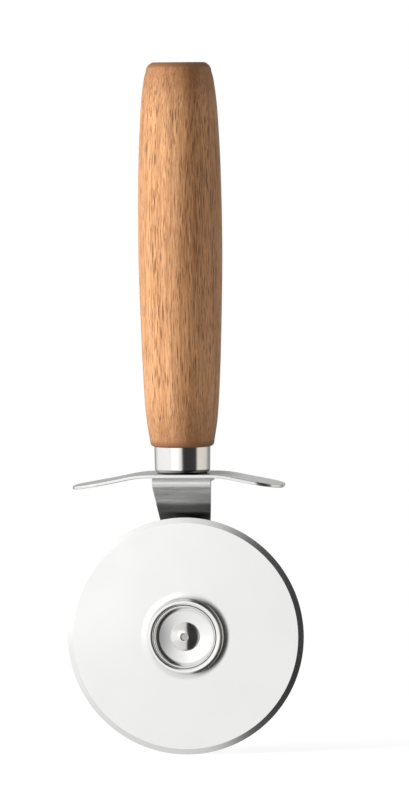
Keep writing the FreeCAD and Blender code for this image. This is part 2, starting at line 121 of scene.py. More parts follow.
class MetalSettings(bpy.types.PropertyGroup):
    """Colours and finish of the steel pieces."""
    segments: IntProperty(name="Segments", description="Faces round a turned piece", default=192, min=24, max=512)
    polished: FloatVectorProperty(
        name="Polished steel", description="Colour of ferrule and rivet", subtype="COLOR", size=3,
        default=(0.86, 0.85, 0.83), min=0, max=1)
    satin: FloatVectorProperty(
        name="Satin steel", description="Colour of blade, arm and guard", subtype="COLOR", size=3,
        default=(0.92, 0.92, 0.91), min=0, max=1)
    satin_roughness: FloatProperty(
        name="Satin roughness", description="Roughness of the satin steel", subtype="FACTOR",
        default=0.2, min=0, max=1)


class WheelSettings(bpy.types.PropertyGroup):
    """Sizes of the blade and its boss."""
    blade_thickness: FloatProperty(
        name="Sheet", description="Thickness of the blade's sheet", unit="LENGTH", subtype="DISTANCE",
        default=1.0 * MM, min=0.2 * MM, max=3 * MM)
    bevel_width: FloatProperty(
        name="Ground edge", description="Width of the ground bevel", unit="LENGTH", subtype="DISTANCE",
        default=1.75 * MM, min=0.2 * MM, max=6 * MM)
    boss_opening: FloatProperty(
        name="Boss opening", description="Radius of the opening in the boss", unit="LENGTH", subtype="DISTANCE",
        default=9.9 * MM, min=5 * MM, max=15 * MM)


class StageSettings(bpy.types.PropertyGroup):
    """Light and camera of the studio."""
    turn: FloatProperty(
        name="Camera turn", description="Camera's angle round the upright axis", subtype="ANGLE",
        default=math.radians(6.6), min=-math.pi, max=math.pi)
    rise: FloatProperty(
        name="Camera rise", description="Camera's angle above level", subtype="ANGLE",
        default=math.radians(3.0), min=-1.5, max=1.5)
    roll: FloatProperty(
        name="Camera roll", description="Camera's tilt about its own axis", subtype="ANGLE",
        default=math.radians(-0.59), min=-1, max=1)
    height: FloatProperty(
        name="Framed height", description="Height that the picture takes in", unit="LENGTH", subtype="DISTANCE",
        default=252.6 * MM, min=0.05, max=2)
    lens: FloatProperty(name="Lens", description="Focal length", unit="CAMERA", default=300, min=20, max=500)


# ---------------------------------------------------------------- outlines

def rounded(corners, step=math.radians(7.5)):
    """Points of a closed outline whose corners are (across, along, radius of rounding), all in metres."""
    points = []
    count = len(corners)
    for index, (x, y, radius) in enumerate(corners):
        corner = Vector((x, y))
        if radius <= 0:
            points.append(corner)
            continue
        before = Vector(corners[index - 1][:2]) - corner
        after = Vector(corners[(index + 1) % count][:2]) - corner
        opening = before.angle(after)
        reach = radius / math.tan(opening / 2)
        start = corner + before.normalized() * reach
        end = corner + after.normalized() * reach
        middle = (before.normalized() + after.normalized()).normalized()
        centre = corner + middle * (radius / math.sin(opening / 2))
        swing = math.pi - opening
        steps = max(2, math.ceil(swing / step))
        first = start - centre
        turn = math.copysign(swing / steps, first.cross(end - centre))
        for number in range(steps + 1):
            points.append(centre + Matrix.Rotation(turn * number, 2) @ first)
    return points


def smooth_through(points, steps):
    """A smooth line through points, by cubic spans between them."""
    ends = [points[0] * 2 - points[1]] + points + [points[-1] * 2 - points[-2]]
    line = []
    for number in range(1, len(ends) - 2):
        a, b, c, d = ends[number - 1:number + 3]
        for part in range(steps):
            t = part / steps
            line.append(0.5 * ((2 * b) + (c - a) * t + (2 * a - 5 * b + 4 * c - d) * t * t
                               + (3 * b - a - 3 * c + d) * t ** 3))
    line.append(points[-1])
    return line


def arc_points(centre, radius, first, last, steps):
    """Points along an arc, as 2D vectors."""
    points = []
    for angle in between(first, last - first, steps):
        points.append(Vector((centre[0] + radius * math.cos(angle), centre[1] + radius * math.sin(angle))))
    return points


def three_point_arc(start, middle, end, steps):
    """Points on the arc through three points."""
    ax, ay = middle - start
    bx, by = end - start
    twice = 2 * (ax * by - ay * bx)
    centre = start + Vector((by * (ax * ax + ay * ay) - ay * (bx * bx + by * by),
                             ax * (bx * bx + by * by) - bx * (ax * ax + ay * ay))) / twice
    first = math.atan2(*(start - centre).yx)
    sweep = (start - centre).angle_signed(end - centre)
    half = (start - centre).angle_signed(middle - centre)
    if half * sweep < 0:
        sweep -= math.copysign(2 * math.pi, sweep)
    return arc_points(centre, (start - centre).length, first, first - sweep, steps)


def points_at(*places):
    """Outline points from pairs of numbers, in metres."""
    return [Vector(place) for place in places]


def hole(along, radius):
    """A round hole's outline, its centre along the plate."""
    return arc_points((along, 0), radius, 0, 2 * math.pi, HOLE_SIDES)[:-1]


def between(start, length, count, first=0, last=None):
    """Places that divide a length into count equal parts, from part first to part last."""
    last = count if last is None else last
    return [start + length * number / count for number in range(first, last + 1)]


def new_object(name, data):
    """An object at the origin of the scene."""
    made = bpy.data.objects.new(name, data)
    bpy.context.scene.collection.objects.link(made)
    return made


def finished_mesh(maker):
    """The plain mesh of an object with its modifiers or curve settings applied."""
    bpy.context.view_layer.update()
    depsgraph = bpy.context.evaluated_depsgraph_get()
    return bpy.data.meshes.new_from_object(maker.evaluated_get(depsgraph), depsgraph=depsgraph)


# ---------------------------------------------------------------- turned pieces

def turning_tree():
    """Geometry Nodes that turn an outline about an axis: radius is the outline's X, place along the axis its Z."""
    tree = bpy.data.node_groups.get("turned_piece")
    if tree:
        return tree
    tree = bpy.data.node_groups.new("turned_piece", "GeometryNodeTree")
    for socket, kind in (("Outline", "Geometry"), ("Segments", "Int"), ("Turn", "Rotation"),
                         ("Place", "Vector"), ("Finish", "Material")):
        tree.interface.new_socket(socket, in_out="INPUT", socket_type="NodeSocket" + kind)
    tree.interface.new_socket("Piece", in_out="OUTPUT", socket_type="NodeSocketGeometry")
    add = tree.nodes.new
    given, result = add("NodeGroupInput"), add("NodeGroupOutput")
    guide_r = 10 * MM
    guide = add("GeometryNodeCurvePrimitiveCircle")
    guide.inputs["Radius"].default_value = guide_r
    flat = add("GeometryNodeTransform")
    flat.inputs["Translation"].default_value = (-guide_r, 0, 0)
    line = add("GeometryNodeMeshToCurve")
    sweep = add("GeometryNodeCurveToMesh")
    merge = add("GeometryNodeMergeByDistance")
    merge.inputs["Distance"].default_value = 0.001 * MM
    smooth = add("GeometryNodeSetShadeSmooth")
    turn = add("GeometryNodeTransform")
    realize = add("GeometryNodeRealizeInstances")
    finish = add("GeometryNodeSetMaterial")
    for source, output, target, socket in (
        (given, "Segments", guide, "Resolution"),
        (given, "Outline", flat, "Geometry"),
        (flat, "Geometry", line, "Mesh"),
        (guide, "Curve", sweep, "Curve"),
        (line, "Curve", sweep, "Profile Curve"),
        (sweep, "Mesh", merge, "Geometry"),
        (merge, "Geometry", smooth, "Geometry"),
        (smooth, "Geometry", turn, "Geometry"),
        (given, "Place", turn, "Translation"),
        (given, "Turn", turn, "Rotation"),
        (turn, "Geometry", realize, "Geometry"),
        (realize, "Geometry", finish, "Geometry"),
        (given, "Finish", finish, "Material"),
        (finish, "Geometry", result, "Piece"),
    ):
        tree.links.new(source.outputs[output], target.inputs[socket])
    return tree


def turned(name, outline, material, segments, on_axle=False, closed=False):
    """A piece turned from an outline of (radius, place along the axis), about the axle or the handle's axis."""
    mesh = bpy.data.meshes.new(name)
    count = len(outline)
    edges = [(number, number + 1) for number in range(count - 1)]
    if closed:
        edges.append((count - 1, 0))
    mesh.from_pydata([(point[0], point[1], 0) for point in outline], edges, [])
    piece = new_object(name, mesh)
    modifier = piece.modifiers.new("turning", "NODES")
    modifier.node_group = turning_tree()
    # The sweep lays an outline downwards: a handle piece is turned right over, a wheel piece half as far.
    given = {
        "Segments": segments,
        "Turn": (math.pi / 2, 0, 0) if on_axle else (math.pi, 0, 0),
        "Place": (0, 0, AXLE_Z) if on_axle else (0, 0, 0),
        "Finish": material,
    }
    for item in modifier.node_group.interface.items_tree:
        if item.name in given:
            modifier[item.identifier] = given[item.name]
    piece.data = finished_mesh(piece)
    piece.data.name = name
    piece.modifiers.clear()
    close_up(piece.data)
    return piece


def close_up(mesh):
    """Merges doubles, points the faces outward and marks real corners sharp."""
    work = bmesh.new()
    work.from_mesh(mesh)
    bmesh.ops.remove_doubles(work, verts=work.verts, dist=WELD)
    bmesh.ops.recalc_face_normals(work, faces=work.faces)
    if work.calc_volume(signed=True) < 0:
        bmesh.ops.reverse_faces(work, faces=work.faces)
    work.to_mesh(mesh)
    work.free()
    mesh.polygons.foreach_set("use_smooth", [True] * len(mesh.polygons))
    mesh.set_sharp_from_angle(angle=REAL_CORNER)
    mesh.update()


def even_shading(piece):
    """Keeps large faces evenly shaded beside small roundings."""
    weighted = piece.modifiers.new("even_shading", "WEIGHTED_NORMAL")
    weighted.keep_sharp = True
    weighted.weight = LARGE_FACE_SHARE


def fit(piece, body, node, slot):
    """Hands a finished piece to the frame: what it moves with and what it stands for. The slot is not used."""
    even_shading(piece)
    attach(piece, body)
    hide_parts(node)
    return piece


# ---------------------------------------------------------------- bent plates

def plate_mesh(name, outlines, thickness, ease):
    """A flat plate with eased edges: outlines are closed point lists, the first outside, the others holes."""
    curve = bpy.data.curves.new(name, "CURVE")
    curve.dimensions = "2D"
    curve.fill_mode = "BOTH"
    curve.extrude = thickness / 2 - ease
    curve.bevel_depth = ease
    curve.bevel_resolution = 3
    curve.offset = -ease
    for outline in outlines:
        spline = curve.splines.new("POLY")
        spline.points.add(len(outline) - 1)
        for point, place in zip(spline.points, outline):
            point.co = (place[0], place[1], 0, 1)
        spline.use_cyclic_u = True
    maker = new_object(name, curve)
    mesh = finished_mesh(maker)
    bpy.data.objects.remove(maker)
    return mesh


def bent_plate(name, outlines, thickness, ease, stations, bend, material):
    """A plate cut across at each station of its first direction, then bent by bend(along, across, height)."""
    mesh = plate_mesh(name, outlines, thickness, ease)
    work = bmesh.new()
    work.from_mesh(mesh)
    bmesh.ops.remove_doubles(work, verts=work.verts, dist=WELD)
    for station in stations:
        everything = work.verts[:] + work.edges[:] + work.faces[:]
        bmesh.ops.bisect_plane(work, geom=everything, plane_co=(station, 0, 0), plane_no=(1, 0, 0),
                               dist=WELD / 10)
    for vert in work.verts:
        vert.co = bend(vert.co.x, vert.co.y, vert.co.z)
    work.to_mesh(mesh)
    work.free()
    close_up(mesh)
    mesh.materials.clear()
    mesh.materials.append(material)
    return new_object(name, mesh)


# ---------------------------------------------------------------- finishes

class Bench:
    """Short ways to add, set and join the nodes of one shader tree."""

    def __init__(self, tree):
        self.tree = tree
        self.textures = self.add("ShaderNodeTexCoord")

    def add(self, kind, given=None, **settings):
        """A new node: given fills its inputs by name, with a value or another node's output."""
        node = self.tree.nodes.new(kind)
        for key, value in settings.items():
            setattr(node, key, value)
        for key, value in (given or {}).items():
            self.put(value, node.inputs[key])
        return node

    def put(self, value, target):
        """Joins an output to a socket, or sets the socket to a number, a vector or a colour."""
        if isinstance(value, bpy.types.NodeSocket):
            self.tree.links.new(value, target)
        elif target.type == "RGBA":
            target.default_value = (*value, 1)
        else:
            target.default_value = value

    def split(self, vector):
        """The three parts of a vector, by name."""
        return self.add("ShaderNodeSeparateXYZ", {"Vector": vector}).outputs

    def reach(self, vector, kept, centre=(0, 0, 0)):
        """Distance from a centre, in the directions where kept is 1."""
        away = self.add("ShaderNodeVectorMath", {0: vector, 1: centre}, operation="SUBTRACT")
        level = self.add("ShaderNodeVectorMath", {0: away.outputs["Vector"], 1: kept}, operation="MULTIPLY")
        length = self.add("ShaderNodeVectorMath", {0: level.outputs["Vector"]}, operation="LENGTH")
        return length.outputs["Value"]

    def ramp(self, value, low, high, to_low=0.0, to_high=1.0, easing="SMOOTHSTEP"):
        """A value eased from one range to another and held at its ends."""
        node = self.add("ShaderNodeMapRange", {
            "Value": value, "From Min": low, "From Max": high, "To Min": to_low, "To Max": to_high,
        }, interpolation_type=easing)
        return node.outputs["Result"]

    def maths(self, operation, *values):
        return self.add("ShaderNodeMath", dict(enumerate(values)), operation=operation).outputs["Value"]

    def largest(self, first, *others):
        for other in others:
            first = self.maths("MAXIMUM", first, other)
        return first

    def mix(self, factor, first, second, blend_type="MIX"):
        """Mixes two colours, each a socket or three numbers."""
        node = self.add("ShaderNodeMix", {0: factor}, data_type="RGBA", blend_type=blend_type)
        sockets = [socket for socket in node.inputs if socket.type == "RGBA"]
        for socket, value in zip(sockets, (first, second)):
            self.put(value, socket)
        return next(socket for socket in node.outputs if socket.type == "RGBA")


class Finish(Bench):
    """A material under construction."""

    def __init__(self, name):
        self.material = bpy.data.materials.new(name)
        self.material.use_nodes = True
        super().__init__(self.material.node_tree)
        self.shader = self.tree.nodes["Principled BSDF"]
        self.place = self.textures.outputs["Object"]

    def give(self, **inputs):
        """Sets or joins the shader's inputs; an underscore stands for a space."""
        for key, value in inputs.items():
            self.put(value, self.shader.inputs[key.replace("_", " ")])
        return self.material

    def stretched(self, scale, shift=(0, 0, 0), source=None):
        """Object coordinates scaled and moved; scale is in features per millimetre."""
        mapping = self.add("ShaderNodeMapping", {
            "Vector": source or self.place, "Location": shift, "Scale": [value / MM for value in scale],
        })
        return mapping.outputs["Vector"]

    def noise(self, vector, detail=2.0, roughness=0.5):
        return self.add("ShaderNodeTexNoise", {
            "Vector": vector, "Scale": 1.0, "Detail": detail, "Roughness": roughness,
        }).outputs["Fac"]

    def cells(self, vector):
        return self.add("ShaderNodeTexVoronoi", {"Vector": vector, "Scale": 1.0}).outputs["Distance"]

    def tinted(self, colour, value):
        """A colour multiplied by one value."""
        grey = self.add("ShaderNodeCombineColor", {"Red": value, "Green": value, "Blue": value})
        return self.mix(1.0, colour, grey.outputs["Color"], "MULTIPLY")

    def bump(self, height, depth, strength, under=None):
        """Relief: height from 0 to 1 stands for depth in metres, over the relief given as under."""
        given = {"Height": height, "Strength": strength, "Distance": depth}
        if under:
            given["Normal"] = under
        return self.add("ShaderNodeBump", given).outputs["Normal"]


class Metal(Finish):
    """A bare metal whose fine lines tint it, roughen it and stand out from it."""

    def complete(self, colour, tone, rough, lines, line_depth=0.004 * MM):
        return self.give(Metallic=1.0, Base_Color=self.tinted(colour, tone), Roughness=rough,
                         Normal=self.bump(lines, line_depth, 0.5))

    def uneven(self, lines, cloud, roughness, scratch):
        """Roughness that follows the lines and drifts by a tenth with the cloud."""
        return self.maths("ADD", self.ramp(lines, 0.3, 0.7, -scratch, scratch),
                          self.ramp(cloud, 0.3, 0.7, roughness * 0.9, roughness * 1.1))


def oiled_hardwood(settings):
    """Straight-grained open-pored hardwood, cut along Z: streaks, fibres and pores run through the solid."""
    wood = Finish("oiled_hardwood")
    waver = wood.noise(wood.stretched((0.05, 0.05, 0.012), shift=(3, 7, 1)), detail=2)
    sway = (5.0 * MM, 3.5 * MM, 0)
    swayed = wood.add("ShaderNodeVectorMath", {0: wood.maths("SUBTRACT", waver, 0.5), 1: sway, 2: wood.place},
                      operation="MULTIPLY_ADD")
    grain = swayed.outputs["Vector"]
    broad = wood.noise(wood.stretched((0.13, 0.07, 0.004), (1.3, 4.2, 0.3), grain), detail=2)
    streak = wood.noise(wood.stretched((0.75, 0.55, 0.011), (5.1, 1.7, 2.0), grain), detail=4, roughness=0.65)
    fibre = wood.noise(wood.stretched((3.2, 3.2, 0.13), source=grain), detail=4, roughness=0.7)
    long_pore = wood.cells(wood.stretched((2.3, 2.3, 0.12), (2.4, 0.6, 1.1), grain))
    short_pore = wood.cells(wood.stretched((2.1, 2.1, 0.3), (0.3, 5.2, 4.1), grain))
    crowding = wood.noise(wood.stretched((0.22, 0.22, 0.012), (9, 2, 5)), detail=1)

    # Pale and dark growth, with one denser layer right of the middle
    from_layer = wood.maths("ABSOLUTE", wood.maths("SUBTRACT", wood.split(grain)["X"], 5.0 * MM))
    layer = wood.maths("MULTIPLY", wood.ramp(from_layer, 0.6 * MM, 3.6 * MM, 0.3, 0.0),
                       wood.ramp(crowding, 0.3, 0.6, 0.45, 1.0))
    tone = wood.maths("ADD", wood.ramp(broad, 0.36, 0.66, 0.0, 0.5), wood.ramp(streak, 0.42, 0.72, 0.0, 0.5))
    tone = wood.maths("MINIMUM", wood.maths("ADD", tone, layer), 1.0)
    colour = wood.mix(tone, settings.light_wood, settings.dark_wood)
    colour = wood.tinted(colour, wood.ramp(fibre, 0.32, 0.68, 0.64, 1.18))

    # Open pores, crowded in places
    past_pore = wood.maths("SUBTRACT", long_pore, wood.ramp(crowding, 0.3, 0.7, 0.13, 0.26))
    long_mark = wood.maths("SUBTRACT", 1.0, wood.ramp(past_pore, 0.0, 0.12))
    short_mark = wood.maths("SUBTRACT", 1.0, wood.ramp(short_pore, 0.13, 0.30))
    mark = wood.largest(long_mark, wood.maths("MULTIPLY", short_mark, 0.45))
    colour = wood.mix(wood.maths("MULTIPLY", mark, 0.86), colour, settings.pore)

    # Both ends are darker: near the top, on faces that point up or down, and over the lowest 22 mm with a darker rim
    # just above the ferrule
    height = wood.split(wood.place)["Z"]
    upward = wood.maths("ABSOLUTE", wood.split(wood.textures.outputs["Normal"])["Z"])
    low_rim = wood.ramp(height, FERRULE_TOP_Z + 0.3 * MM, FERRULE_TOP_Z + 2.6 * MM, 0.6, 0.0)
    low_end = wood.ramp(height, FERRULE_TOP_Z, FERRULE_TOP_Z + 22 * MM, 0.58, 0.0)
    ends = wood.largest(
        wood.ramp(height, HANDLE_TOP_Z - 18 * MM, HANDLE_TOP_Z - 1.5 * MM, 0.0, 0.62),
        wood.ramp(height, HANDLE_TOP_Z - 2.8 * MM, HANDLE_TOP_Z - 0.9 * MM),
        wood.ramp(upward, 0.35, 0.95, 0.0, 0.7),
        wood.maths("ADD", low_rim, low_end))
    darker_end_colour = (Vector(settings.dark_wood) + Vector(settings.pore)) / 2
    colour = wood.mix(ends, colour, darker_end_colour)

    rough = wood.maths("ADD", wood.ramp(fibre, 0.2, 0.8, 0.36, 0.5), wood.maths("MULTIPLY", mark, 0.2))
    dents = wood.bump(wood.maths("SUBTRACT", 1.0, mark), 0.05 * MM, 0.55)
    return wood.give(Base_Color=colour, Roughness=rough, Specular_IOR_Level=0.5,
                     Normal=wood.bump(fibre, 0.02 * MM, 0.35, dents))


def steel(name, colour, roughness, scratch, lay=(0.35, 6.0, 6.0)):
    """Steel with fine lines along one direction; lay is lines per millimetre along X, Y and Z."""
    metal = Metal(name)
    lines = metal.noise(metal.stretched(lay), detail=3, roughness=0.6)
    cloud = metal.noise(metal.stretched((0.09, 0.09, 0.09), shift=(4, 1, 2)), detail=3)
    return metal.complete(colour, metal.ramp(lines, 0.25, 0.75, 0.96, 1.0),
                          metal.uneven(lines, cloud, roughness, scratch), lines)


def spun_steel(name, colour, roughness, scratch, rings=5.0, ring_depth=0.004 * MM, dull_r=0.0, ground_r=0.0):
    """Steel polished while turning on the axle: fine concentric lines, dull within dull_r, ground from ground_r."""
    metal = Metal(name)
    radius = metal.reach(metal.place, (1, 0, 1), (0, 0, AXLE_Z))
    drift = metal.noise(metal.stretched((0.05, 0.05, 0.05)), detail=1)
    polar = metal.add("ShaderNodeCombineXYZ", {
        "X": metal.maths("MULTIPLY", radius, rings / MM), "Y": metal.maths("MULTIPLY", drift, 2.0),
    })
    lines = metal.noise(polar.outputs["Vector"], detail=3, roughness=0.65)
    cloud = metal.noise(metal.stretched((0.06, 0.06, 0.06), shift=(4, 1, 2)), detail=3)
    tone = metal.ramp(lines, 0.25, 0.75, 0.985, 1.0)
    if dull_r:
        tone = metal.maths("MULTIPLY", tone, metal.ramp(radius, dull_r, 1.1 * dull_r, 0.55, 1.0))
    if ground_r:
        tone = metal.maths("MULTIPLY", tone, metal.ramp(radius, ground_r, ground_r + 0.05 * MM, 1.0, 0.94))
    return metal.complete(colour, tone, metal.uneven(lines, cloud, roughness, scratch), lines, ring_depth)


def rolled_steel(name, colour):
    """Rolled strip for the arm: soft darker bands that vary at random, and a band of painted shade across the neck
    just above the wheel's top edge.
    """
    metal = Metal(name)
    lines = metal.noise(metal.stretched((0.12, 0.5, 3.0)), detail=3, roughness=0.6)
    bands = metal.noise(metal.stretched((0.02, 0.1, 0.42), shift=(0, 0, 3.1)), detail=2, roughness=0.55)
    height = metal.split(metal.place)["Z"]
    # Painted shade: between 74.5 and 78.5 mm up the strip is darkened to about a quarter, easing out by 71.5 and 81
    # mm.
    clear = metal.largest(metal.ramp(height, 78.5 * MM, 81 * MM), metal.ramp(height, 71.5 * MM, 74.5 * MM, 1.0, 0.0))
    tone = metal.maths("MULTIPLY", metal.ramp(bands, 0.3, 0.7, 0.72, 1.0), metal.ramp(lines, 0.25, 0.75, 0.88, 1.0))
    tone = metal.maths("MULTIPLY", tone, metal.ramp(clear, 0.0, 1.0, 0.23, 1.0))
    return metal.complete(colour, tone, metal.ramp(lines, 0.3, 0.7, 0.26, 0.36), lines)


def guard_steel_painted_shade(name, colour):
    """Satin sheet for the guard, with painted shade and a painted dark reflection on its top beside the ferrule,
    most on the right side.
    """
    metal = Metal(name)
    lines = metal.noise(metal.stretched((0.25, 5.0, 5.0)), detail=3, roughness=0.6)
    # Painted shade: the top face within about 10 to 21 mm of the ferrule is darkened by up to four fifths, most to
    # the right of the ferrule.
    near = metal.ramp(metal.reach(metal.place, (1, 1, 0)), 10 * MM, 21 * MM, 0.8, 0.0)
    upper = metal.ramp(metal.split(metal.textures.outputs["Normal"])["Z"], 0.75, 0.9)
    rightward_share = metal.ramp(metal.split(metal.place)["X"], -10 * MM, 2 * MM, 0.25, 1.0)
    dull = metal.maths("MULTIPLY", metal.maths("MULTIPLY", near, upper), rightward_share)
    tone = metal.maths("MULTIPLY", metal.ramp(lines, 0.25, 0.75, 0.92, 1.0), metal.maths("SUBTRACT", 1.0, dull))
    return metal.complete(colour, tone, metal.ramp(lines, 0.3, 0.7, 0.2, 0.28), lines)


def turned_brass():
    """Brass of the bearing sleeve."""
    metal = Metal("turned_brass")
    lines = metal.noise(metal.stretched((6.0, 0.4, 6.0)), detail=2)
    return metal.give(Metallic=1.0, Roughness=0.28,
                      Base_Color=metal.mix(lines, (0.80, 0.58, 0.27), (0.70, 0.47, 0.20)))


def white_nylon():
    """Nylon of the thrust washers, slightly cloudy."""
    plastic = Finish("white_nylon")
    speck = plastic.noise(plastic.stretched((1.5, 1.5, 1.5)), detail=3)
    return plastic.give(Roughness=0.5, Subsurface_Weight=0.1, Subsurface_Radius=(1 * MM, 1 * MM, 1 * MM),
                        Base_Color=plastic.mix(speck, (0.82, 0.81, 0.76), (0.74, 0.73, 0.68)))


# ---------------------------------------------------------------- pieces

class PASTRY_OT_wooden_handle(bpy.types.Operator):
    """Turn the wooden handle, with its spigot and bore"""
    bl_idname = "pastry.wooden_handle"
    bl_label = "Wooden handle"

    def execute(self, context):
        settings = context.scene.pastry_handle
        side = [Vector((radius * MM, z * MM)) for radius, z in (
            (10.05, 98.9), (11.40, 108.6), (12.42, 127.6), (13.20, 158.0), (12.95, 184.0),
            (12.10, 203.0), (11.05, 212.4), (10.35, 215.4))]
        wall = 0.6 * MM
        clearance = 0.1 * MM
        chamfer = 0.6 * MM
        spigot_r = FERRULE_TOP_R - wall
        bore_top = TANG_TOP_Z + 2.0 * MM
        low_face, low_rounding, top_rounding, top_flat = points_at(
            (9.0 * MM, FERRULE_TOP_Z), (9.7 * MM, 98.15 * MM), (9.55 * MM, 217.45 * MM), (8.0 * MM, HANDLE_TOP_Z))
        outline = points_at(
            (0, bore_top), (TANG_R, bore_top), (TANG_R, SPIGOT_LOW_Z),
            (spigot_r - clearance - chamfer, SPIGOT_LOW_Z), (spigot_r - clearance, SPIGOT_LOW_Z + chamfer),
            (spigot_r, FERRULE_TOP_Z), low_face)
        outline += three_point_arc(low_face, low_rounding, side[0], 6)[1:-1]
        outline += smooth_through(side, 10)
        outline += three_point_arc(side[-1], top_rounding, top_flat, 10)[1:]
        outline += points_at((top_flat.x / 2, HANDLE_TOP_Z), (0, HANDLE_TOP_Z))
        handle = turned("wooden_handle_turned", outline, oiled_hardwood(settings), settings.segments)
        fit(handle, FIXED_BODY, "wooden_handle", "handle_wood")
        return {"FINISHED"}


class PASTRY_OT_ferrule(bpy.types.Operator):
    """Draw the polished ferrule cup"""
    bl_idname = "pastry.ferrule"
    bl_label = "Ferrule"

    def execute(self, context):
        settings = context.scene.pastry_metal
        wall = 0.6 * MM
        low_r = 8.7 * MM
        corner_r = 1.4 * MM
        lip = 0.15 * MM
        outline = rounded([
            (STEM_HOLE_R, FERRULE_LOW_Z, 0),
            (low_r, FERRULE_LOW_Z, corner_r),
            (FERRULE_TOP_R, FERRULE_TOP_Z, lip),
            (FERRULE_TOP_R - wall, FERRULE_TOP_Z, lip),
            (low_r - wall, FERRULE_LOW_Z + wall, corner_r - wall),
            (STEM_HOLE_R, FERRULE_LOW_Z + wall, 0),
        ])
        metal = steel("polished_ferrule", settings.polished, 0.13, 0.02, lay=(0.6, 0.6, 3.0))
        ferrule = turned("ferrule_drawn", outline, metal, settings.segments, closed=True)
        fit(ferrule, FIXED_BODY, "ferrule", "ferrule_steel")
        return {"FINISHED"}


class PASTRY_OT_finger_guard(bpy.types.Operator):
    """Cut the finger guard from sheet, ease its edges and arch it"""
    bl_idname = "pastry.finger_guard"
    bl_label = "Finger guard"

    def execute(self, context):
        settings = context.scene.pastry_metal
        thickness = 1.1 * MM
        corner = 8.5 * MM
        ease = 0.3 * MM
        flat, bend_end = FOOT_HALF_W, 17.0 * MM
        steep, tip = math.radians(12.0), math.radians(8.0)
        bend_r = (bend_end - flat) / math.sin(steep)
        flare_r = (-GUARD_LEFT - bend_end) / (math.sin(steep) - math.sin(tip))

        def slope(distance):
            if distance <= flat:
                return 0.0
            if distance <= bend_end:
                return math.asin((distance - flat) / bend_r)
            return math.asin(math.sin(steep) - (distance - bend_end) / flare_r)

        def arch(along, across, height):
            distance = abs(along)
            angle = slope(distance)
            drop = 0.0
            if distance > flat:
                drop = bend_r * (1 - math.cos(min(angle, steep) if distance <= bend_end else steep))
            if distance > bend_end:
                drop += flare_r * (math.cos(angle) - math.cos(steep))
            lift = height + thickness / 2
            side = math.copysign(1, along)
            return Vector((along + side * (lift - thickness) * math.sin(angle), across,
                           GUARD_TOP_Z - drop + (lift - thickness) * math.cos(angle)))

        plan = rounded([
            (GUARD_LEFT, -GUARD_HALF_DEPTH, corner), (GUARD_RIGHT, -GUARD_HALF_DEPTH, corner),
            (GUARD_RIGHT, GUARD_HALF_DEPTH, corner), (GUARD_LEFT, GUARD_HALF_DEPTH, corner),
        ], step=math.radians(4))
        first = math.floor(GUARD_LEFT / MM)
        stations = [(first + number) * MM for number in range(1, math.ceil((GUARD_RIGHT - GUARD_LEFT) / MM))]
        stations += [flat, -flat, bend_end, -bend_end]
        metal = guard_steel_painted_shade("satin_guard", settings.satin)
        outlines = [plan, hole(0, STEM_HOLE_R)]
        guard = bent_plate("finger_guard_arched", outlines, thickness, ease, stations, arch, metal)
        fit(guard, FIXED_BODY, "finger_guard", "guard_steel")
        return {"FINISHED"}


